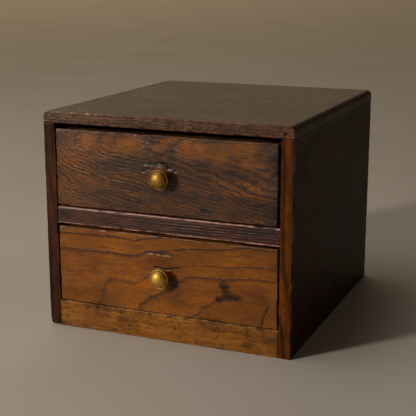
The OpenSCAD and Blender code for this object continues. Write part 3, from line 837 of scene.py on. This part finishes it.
DRAWERS = {"upper": "upper_drawer", "lower": "lower_drawer"}
for (drawer, body), seed in zip(DRAWERS.items(), (101, 131)):
    front_low, front_high = node_box(drawer + "_front")
    side_low, side_high = node_box(drawer + "_left_side")
    panel_low, panel_high = node_box(drawer + "_bottom")
    rear_low, rear_high = node_box(drawer + "_back")
    middle_x = (front_low[0] + front_high[0]) / 2
    groove = front_high[0] - middle_x - (side_high[0] - side_low[0]) + PANEL_GROOVE + JOINT_FIT

    def grooved(x, y, z):
        """A drawer side without the groove that holds the bottom panel."""
        in_groove = (z > panel_low[2] - JOINT_FIT) & (z < panel_high[2] + JOINT_FIT)
        return ~(in_groove & (np.abs(x - middle_x) < groove))

    for hand, side, shift in (("left", -1, 0), ("right", 1, 2)):
        board(f"{drawer}_{hand}_side", body, "bare_cedar", bare_sides,
              heart_line(1, side * 150, 60 + seed, 2.8, seed + shift), keep=grooved,
              cuts=([middle_x + side * groove], (),
                    [panel_low[2] - JOINT_FIT, panel_high[2] + JOINT_FIT]),
              steps=(1.6, 3.2, 1.2), arris=0.6, relief=0.06, seed=seed + 4 + shift)
    board(drawer + "_back", body, "bare_cedar", bare_backs,
          heart_line(0, 190, 40 + seed, 2.8, seed + 8), steps=(3.2, 1.6, 1.2), arris=0.6,
          relief=0.06, seed=seed + 9)
    board(drawer + "_bottom", body, "bare_cedar", bare_sides,
          heart_line(1, 20, seed - 90, 3.0, seed + 11), steps=(1.6, 3.6, 1.6), arris=0.4,
          relief=0.06, seed=seed + 12)

    peg_ys = [node_box(drawer + "_pegs")[0][1] + PEG / 2, (rear_low[1] + rear_high[1]) / 2]
    p, faces = together([peg((end, y, z), (turn, 0, 0), PEG, PEG_LENGTH)
                         for end, turn in ((front_low[0], 1), (front_high[0], -1)) for y in peg_ys
                         for z in two_between(panel_high[2], side_high[2])])
    join_frame(new_piece(drawer + "_pegs", p, faces, peg_end_x), body, "peg_wood", drawer + "_pegs")

    nail_low, nail_high = node_box(drawer + "_nails")
    nail_ends = nail_low[0] + NAIL_HEAD / 2, nail_high[0] - NAIL_HEAD / 2
    p, faces = together([nail((x, (nail_low[1] + nail_high[1]) / 2, nail_low[2]), (0, 0, 1),
                              nail_high[2] - nail_low[2])
                         for x in np.linspace(*nail_ends, 3)])
    join_frame(new_piece(drawer + "_nails", p, faces, iron), body, "old_iron", drawer + "_nails")

# ---- Upper drawer front ----
# A thick board of flat-sawn chestnut, dark with age. Its early wood has worn away between the
# harder late wood, so the figure stands in relief. The wood is torn and split over the knob.


def lapped(drawer):
    """A drawer front without the laps at its ends, where the drawer's sides come up from behind,
    and without the groove for the bottom panel."""
    low, high = node_box(drawer + "_front")
    side = node_box(drawer + "_left_side")
    panel = node_box(drawer + "_bottom")
    thick = side[1][0] - side[0][0]

    def keep(x, y, z):
        """Everything but the laps and the groove."""
        ends = ((x < low[0] + thick) | (x > high[0] - thick)) & (y > side[0][1])
        groove = (y > panel[0][1]) & (z > panel[0][2] - JOINT_FIT) & (z < panel[1][2] + JOINT_FIT)
        return ~(ends | groove)
    cuts = ([low[0] + thick, high[0] - thick], [side[0][1], panel[0][1]],
            [panel[0][2] - JOINT_FIT, panel[1][2] + JOINT_FIT])
    return keep, cuts


def bulge(x, z, x_middle, z_middle, x_size, z_size):
    """A smooth bump, 1 in its middle: e to the minus of the squared distances over the sizes."""
    return np.exp(-((x - x_middle) / x_size) ** 2 - ((z - z_middle) / z_size) ** 2)


def nearness(x, z, path, width):
    """1 on a path, falling evenly to 0 at width from it, by the least distance to its segments."""
    least = np.full(len(x), np.inf)
    for (ax, az), (bx, bz) in zip(path[:-1], path[1:]):
        along = (x - ax) * (bx - ax) + (z - az) * (bz - az)
        t = np.clip(along / ((bx - ax) ** 2 + (bz - az) ** 2), 0, 1)
        least = np.minimum(least, np.hypot(x - ax - t * (bx - ax), z - az - t * (bz - az)))
    return np.clip(1 - least / width, 0, 1)


# How far behind a drawer front's face its marks fade out.
FACE_DEPTH = 3
UPPER_LATE = (0.33, 0.5, 0.97)
ARCH_PLACES = [-4, 5, 14, 22, 30, 44, 56, 72, 104, 127, 152, 180, 214, 250]


def upper_rings(p):
    """Flat-sawn figure: arches open to the right, one at each place along a heart line near the
    board's top. Ring number: the distance below the heart line over the pitch, less the number
    of arches passed; above the line the distance counts a third, so the arches stand steeper."""
    x, z = p[:, 0] - left_low[0], p[:, 2]
    behind = p[:, 1] - node_box("upper_front")[0][1]
    drop = 178.5 - 8 * np.exp(-((x - 222) / 40) ** 2) - z + 1.6 * noise(p, (34, 40, 16), 91)
    spread = np.hypot(np.where(drop < 0, 0.33 * drop, drop), 4 + 0.8 * behind)
    passed = np.interp(x + 3 * noise(p, (25, 30, 7), 92), ARCH_PLACES, range(len(ARCH_PLACES)))
    sweep = 1.6 * (1 + np.tanh((x - 112) / 13)) * np.clip((drop - 6) / 22, 0, 1)
    waves = 0.34 * noise(p, (30, 30, 8), 93) + 0.3 * noise(p, (11, 20, 3.2), 99)
    return (spread - 4) / 3.4 - passed - sweep + waves + 0.1 * noise(p, (5, 9, 0.9), 94) + 0.7


def upper_marks(p):
    """The torn split over the knob, a small knot, a few worm holes, six ovals near the top where
    the cut only grazes a ring and the wood is plain, dirt in the low places between them, a painted
    shadow right of the knob, painted shade that darkens the right half a little, and painted glints
    on the torn lips and on late wood near the splits and at the upper left."""
    face = node_box("upper_front")[0][1]
    on_face = np.clip(1 - (p[:, 1] - face) / FACE_DEPTH, 0, 1)
    x = p[:, 0] + 0.8 * noise(p, (2.5, 9, 1.5), 95)
    z = p[:, 2] + 0.9 * noise(p, (3, 9, 2), 96)
    ragged = 0.8 + 0.7 * noise(p, (2.2, 9, 1.2), 98)
    split = nearness(x, z, [(-18, 163.2), (-9, 163.0), (-3, 164.2), (4, 163.4)], 1.3)
    tear = nearness(x, z, [(-1, 164.4), (4, 162.0), (12, 160.2)], 2.0)
    second = nearness(x, z, [(-23, 154.5), (-17, 158.0), (-12, 158.6)], 1.1)
    knot = nearness(x, z, [(37, 127.6), (41, 125.4), (46, 123.6)], 2.6)
    holes = np.clip(sum(nearness(p[:, 0], p[:, 2], [place, (place[0] + 0.3, place[1])], 0.8)
                for place in ((69, 155), (88, 133), (-94, 172), (26, 134))), 0, 1)
    lip = np.maximum(nearness(x, z, [(-16, 161.6), (-8, 161.6), (0, 162.0)], 1.4),
                     nearness(x, z, [(-1, 162.2), (5, 159.8), (12, 158.6)], 1.6))
    deep = ragged * (1.1 * split + 1.2 * tear + 0.9 * second) - 0.34 * lip + 0.5 * knot + 1.2 * holes
    dark = ragged * (1.9 * split + 1.3 * tear + 1.5 * second) + 1.1 * knot + 1.5 * holes
    # painted shadow right of the knob, and painted shade that darkens the right half a little
    dark = dark + 0.5 * bulge(x, z, 8, 152, 6, 7) + 0.1 * np.clip(x / 60, 0, 1)
    calm = sum(bulge(x, z, *oval) for oval in ((-77, 180, 6, 6), (-33, 178, 14, 7), (26, 177, 12, 8),
                                               (50, 175, 9, 8), (77, 183, 14, 5), (84, 170, 14, 3)))
    calm = calm + 0.3 * np.clip(noise(p, (24, 30, 11), 89), 0, 1)
    low_places = sum(bulge(x, z, *spot) for spot in (
        (-14, 178, 4, 11), (8, 174, 5, 9), (103, 165, 5, 24), (-8, 138, 16, 12), (-102, 180, 9, 9)))
    dark = np.clip(dark + 0.38 * low_places * (1 + 0.5 * noise(p, (5, 9, 2), 90)), 0, 1)
    dark = dark + 0.4 * np.clip((x - 95) / 12, 0, 1)
    # painted highlights: glints on late wood near the splits and at the upper left, and on the torn
    # lips, laid on as negative darkness that takes the pale colour worn
    painted_glints = sum(bulge(x, z, *spot) for spot in (
        (-90, 183, 24, 12), (-14, 178, 7, 14), (10, 174, 7, 9)))
    painted_glints = painted_glints * late_wood(upper_rings(p), UPPER_LATE) * np.clip(noise(p, (2, 9, 1), 87), 0, 1)
    dark = dark - 2.0 * lip * np.clip(0.2 + noise(p, (3, 9, 1.5), 88), 0, 1) - 1.1 * painted_glints
    return deep * on_face, np.clip(dark, -1, 1) * on_face, np.clip(1.2 * calm, 0, 1)


# Weathered hardwood, dark with age and oiled: orange brown early wood sunk between ragged blackish
# late wood that stands proud and catches the light. The late wood is greyed a little as a painted
# sheen, and the pale grey-pink worn colour is painted highlight in the glints and partly on the
# rubbed arrises.
dark_front = old_wood("weathered_chestnut_front", 0, "#a05a0c", "#452709", "#25201e", "#0f0c0a",
                      "#a58d86", UPPER_LATE, ragged=0.46, strength=(0.7, 0.3), bump=0.75, gloss=0.21,
                      rub=(0.7, 1.15), shine=0.2, coat=0.3, film=0.12)
keep, cuts = lapped("upper")
board("upper_front", "upper_drawer", "oiled_oak_dark", dark_front, upper_rings, keep=keep, cuts=cuts,
      steps=(1.0, 2.6, 0.5), late=UPPER_LATE, relief=0.25, arris=0.9, nicks=0.8, mark=upper_marks,
      seed=97)

# ---- Lower drawer front ----
# The same wood, but a smoother and paler board, oiled to amber, with a few thin dark ring lines
# that sweep round a heart at its lower right, and fine splits above the knob.

RING_RADII = [50, 60.5, 77, 88.5, 104]


def lower_rings(p):
    """Rings round a place at the lower right, drawn out to the left so that they run out nearly
    level; one of them turns down at the left. The ring number grows by one from each radius to
    the next."""
    x, z = p[:, 0] - left_low[0], p[:, 2]
    behind = p[:, 1] - node_box("lower_front")[0][1]
    side = np.interp(x, [10, 90, 105, 125, 150, 177, 200, 232], [51, 52, 46, 41, 33, 26, 14, 3])
    away = np.sqrt(side ** 2 + (z - 20) ** 2) - 0.4 * behind
    away = away + 1.1 * noise(p, (26, 30, 14), 111) + 0.35 * noise(p, (9, 20, 7), 112)
    turned_down = 12 / (1 + np.exp((x - 60) / 4)) * np.exp(-((z - 24) / 24) ** 2)
    away = away - 6 * bulge(x, z, 143, 67, 28, 12) + turned_down
    number = np.interp(away, [36] + RING_RADII, [-0.7, 0, 1, 2, 3, 4])
    return number + 0.93 + 0.03 * noise(p, (5, 9, 1.2), 113)


def lower_marks(p):
    """Two fine splits over the knob, one thin check from the right end, a dark fleck with a tail in
    the figure at the right, a darker patch over the knob where hands have been and two at the left,
    a painted shadow right of and below the knob, painted shade that darkens the right half a little,
    and painted glints on the splits' torn lips."""
    face = node_box("lower_front")[0][1]
    on_face = np.clip(1 - (p[:, 1] - face) / FACE_DEPTH, 0, 1)
    x = p[:, 0] + 0.8 * noise(p, (3, 9, 2), 114)
    z = p[:, 2] + 0.4 * noise(p, (3, 9, 2), 115)
    upper_split = nearness(x, z, [(-20, 81.8), (-8, 82.4), (-4, 82.2), (8, 81.8)], 0.9)
    lower_split = nearness(x, z, [(-10, 69.0), (0, 68.2), (5, 69.0), (14, 70.6)], 1.3)
    lip = np.maximum(nearness(x, z, [(-19, 80.6), (-8, 81.2), (6, 80.7)], 1.0),
                     nearness(x, z, [(-9, 67.6), (0, 66.9), (5, 67.7), (13, 69.2)], 1.2))
    check = nearness(x, z, [(98.5, 45), (95, 35), (93, 27)], 1.8)
    ragged = 2.6 * noise(p, (3.2, 9, 2.2), 118)
    fleck = np.maximum(nearness(x + ragged, z - ragged, [(57, 60), (60, 54), (62, 50)], 5.4),
                       nearness(x - ragged, z, [(53, 46), (61, 49.5), (71, 49.5)], 4.2)) ** 0.5
    tail = nearness(x, z, [(51, 45.5), (43, 39), (37, 36.5), (33, 30), (28, 27)], 1.7)
    deep = (0.6 * upper_split + 0.8 * lower_split) * (0.8 + 0.8 * noise(p, (4, 9, 9), 119))
    deep = deep + 0.4 * check + 0.15 * fleck - 0.2 * lip
    dark = np.clip(1.4 * upper_split + 1.4 * lower_split + 0.9 * check, 0, 1)
    # the first bulge is a darker patch over the knob; the second, and the one at 7, 57, are painted
    # shadow right of and below the knob; the slope in x is painted shade towards the right; the last two
    # are darker patches at the left
    stain_and_shade = 0.34 * bulge(x, z, -8, 74, 15, 11) + 0.34 * bulge(x, z, 12, 46, 11, 18)
    stain_and_shade = stain_and_shade + 0.45 * bulge(x, z, 7, 57, 6, 7) + 0.12 * np.clip(x / 60, 0, 1)
    stain_and_shade = stain_and_shade + 0.28 * bulge(x, z, -96, 40, 14, 18) + 0.2 * bulge(x, z, -62, 36, 10, 8)
    stain_and_shade = (stain_and_shade + 0.9 * fleck + 0.65 * tail) * (1 + 0.35 * noise(p, (3, 9, 1.5), 116))
    # the torn lips are painted highlights: pale glints laid on as negative darkness in the colour worn
    dark = np.clip(dark + stain_and_shade, 0, 1) - 1.7 * lip * np.clip(0.2 + noise(p, (3, 9, 1.5), 121), 0, 1)
    return deep * on_face, np.clip(dark, -1, 1) * on_face, np.zeros(len(p))


# Planed hardwood, oiled and rubbed smooth: a warm amber with a soft gloss and thin dark rings.
# Its pale worn colour is on the rubbed arrises and in the painted glints of the splits' lips.
LOWER_LATE = (0.80, 0.93, 1.0)
amber_front = old_wood("amber_oiled_chestnut_front", 0, "#a65f12", "#804812", "#40281a", "#21150d",
                       "#b08a66", LOWER_LATE, ragged=0.07, strength=(0.5, 0.5), bump=0.45, grime=0.35,
                       specks=0.5, rub=(0.6, 1.0))
keep, cuts = lapped("lower")
board("lower_front", "lower_drawer", "oiled_oak_amber", amber_front, lower_rings, keep=keep, cuts=cuts,
      steps=(1.0, 2.6, 0.5), late=LOWER_LATE, relief=0.05, arris=0.9, nicks=0.7, mark=lower_marks,
      seed=117)

# ---- Knobs ----
# Small knobs turned from solid brass bar: a foot, a neck, a flare to a thin rim, and a dome inside
# a ring cut. Each is held by a threaded tail through the front, with a washer and a square nut
# inside. The brass has never been polished since: dull gold where hands rub, brown in the hollows.

# Radii in millimetres; the nut's bore and the washer's hole clear the tail.
NECK = 3.5
RIM = 9.0
DOME = 7.7
RING_CUT = 8.05
TAIL = 2.0
NUT_BORE = 2.05
WASHER_HOLE = 2.3


def arc(start, end, bend, count=8):
    """Points on a quarter of an ellipse from start to end, by s and r, leaving along s if bend is
    "s" and along r if it is "r"."""
    t = np.linspace(0, np.pi / 2, count)
    slow, fast = 1 - np.cos(t), np.sin(t)
    along_s, along_r = (fast, slow) if bend == "s" else (slow, fast)
    return np.stack([start[0] + (end[0] - start[0]) * along_s,
                     start[1] + (end[1] - start[1]) * along_r], axis=1)


def knob_profile(tail):
    """Distances outwards from the drawer's face, and radii: the tail, the foot, a hollow neck, the
    flare, the rim with broken arrises, the ring cut and the dome."""
    return np.vstack([
        [(-tail, 0)], arc((-tail, 0.8 * TAIL), (0.8 - tail, TAIL), "s", 4),
        [(-4.0, TAIL), (-0.2, TAIL), (0.0, TAIL), (0.0, 4.7)],
        arc((0.05, 4.9), (0.4, 5.25), "r", 4), arc((0.6, 5.25), (1.0, 4.8), "s", 4),
        arc((1.0, 4.4), (2.2, NECK), "r", 6), arc((3.6, NECK), (6.6, 8.2), "s", 10),
        arc((6.8, 8.6), (7.2, RIM), "r", 5), arc((8.2, RIM), (8.8, 8.55), "s", 6),
        arc((8.8, 8.45), (8.4, 8.2), "r", 5), [(8.4, 7.9)],
        arc((8.4, DOME), (13.4, 0), "s", 26)])


def tarnished_brass(name, brown, gold, rubbed):
    """Turned brass left to tarnish: satin gold with browner, duller clouds and faint scratches, in
    three tones; the layer hollow darkens the ring cut and the neck, where nothing rubs."""
    material, tree, shader = new_material(name)
    place = add(tree, "TexCoord").outputs["Object"]
    hollow = add(tree, "Attribute", attribute_name="hollow", attribute_type="GEOMETRY").outputs["Fac"]
    cloud = add(tree, "TexNoise", {"Vector": place, "Scale": 420.0, "Detail": 5.0}).outputs["Fac"]
    speck = add(tree, "TexNoise", {"Vector": place, "Scale": 2600.0, "Detail": 3.0}).outputs["Fac"]
    tone = add(tree, "ValToRGB", {"Fac": cloud}, stops=[(0.3, brown), (0.5, gold), (0.7, rubbed)])
    spots = add(tree, "ValToRGB", {"Fac": speck}, stops=[(0.56, 0.0), (0.72, 0.5)])
    worn = add(tree, "Math", {0: spots.outputs["Color"], 1: hollow}, operation="MAXIMUM")
    colour = add(tree, "Mix", {0: worn.outputs["Value"], 6: tone.outputs["Color"], 7: linear("#3a2410")},
                 data_type="RGBA")
    tree.links.new(colour.outputs[2], shader.inputs["Base Color"])
    shader.inputs["Metallic"].default_value = 1.0
    shader.inputs["Coat Weight"].default_value = 0.35
    shader.inputs["Coat Roughness"].default_value = 0.4
    rough = add(tree, "MapRange", {"Value": cloud, "From Min": 0.3, "From Max": 0.7, "To Min": 0.62,
                                   "To Max": 0.5})
    tree.links.new(rough.outputs["Result"], shader.inputs["Roughness"])
    height = add(tree, "Math", {0: speck, 1: cloud}, operation="ADD")
    pits = add(tree, "Bump", {"Strength": 0.25, "Distance": 0.1 * MM, "Height": height.outputs["Value"]})
    tree.links.new(pits.outputs["Normal"], shader.inputs["Normal"])
    return material


BRASS = {
    "upper": tarnished_brass("turned_brass_dark_tarnish", "#7d5a1c", "#a67c28", "#b88c34"),
    "lower": tarnished_brass("turned_brass_rubbed", "#a07c30", "#c99f40", "#d8b058"),
}
for drawer, body in DRAWERS.items():
    knob_low, knob_high = node_box(drawer + "_knob")
    centre = (knob_low + knob_high) / 2
    face = node_box(drawer + "_front")[0][1]
    start = (centre[0], face, centre[2])
    p, faces = turned(knob_profile(knob_high[1] - face), start, (0, -1, 0), sides=72)
    out = face - p[:, 1]
    r = np.hypot(p[:, 0] - centre[0], p[:, 2] - centre[2])
    ring_cut = np.exp(-((r - RING_CUT) / 0.35) ** 2) * (out > 8)
    neck = (1 - np.clip((r - NECK) / 4, 0, 1)) * (out < 7)
    piece = new_piece(drawer + "_knob", p, faces, BRASS[drawer],
                      hollow=0.85 * np.maximum(ring_cut, neck))
    join_frame(piece, body, "aged_brass", drawer + "_knob")

    washer_low, washer_high = node_box(drawer + "_washer")
    rim = (washer_high[0] - washer_low[0]) / 2
    thick = washer_high[1] - washer_low[1]
    loop = [(0.0, WASHER_HOLE), (0.0, rim - 0.2), (0.2, rim), (thick - 0.2, rim), (thick, rim - 0.2),
            (thick, WASHER_HOLE)]
    p, faces = turned(loop, (centre[0], washer_low[1], centre[2]), (0, 1, 0), sides=40)
    join_frame(new_piece(drawer + "_washer", p, faces, iron), body, "old_iron", drawer + "_washer")

    nut_low, nut_high = node_box(drawer + "_nut")
    half = (nut_high[0] - nut_low[0]) / 2

    def square(radius, t):
        """The nut's outline: the bore stays round, and its outside radius is half its width over the
        larger of |cos t| and |sin t|."""
        outer = (half - 0.05) / np.maximum(np.maximum(np.abs(np.cos(t)), np.abs(np.sin(t))), 0.74)
        return NUT_BORE + (radius - NUT_BORE) / (half - NUT_BORE) * (outer - NUT_BORE)
    thick = nut_high[1] - nut_low[1]
    loop = [(0.0, NUT_BORE), (0.0, half - 0.35), (0.25, half), (thick - 0.4, half),
            (thick, half - 0.5), (thick, NUT_BORE)]
    p, faces = turned(loop, (centre[0], nut_low[1], centre[2]), (0, 1, 0), sides=64, outline=square)
    join_frame(new_piece(drawer + "_nut", p, faces, iron), body, "old_iron", drawer + "_nut")
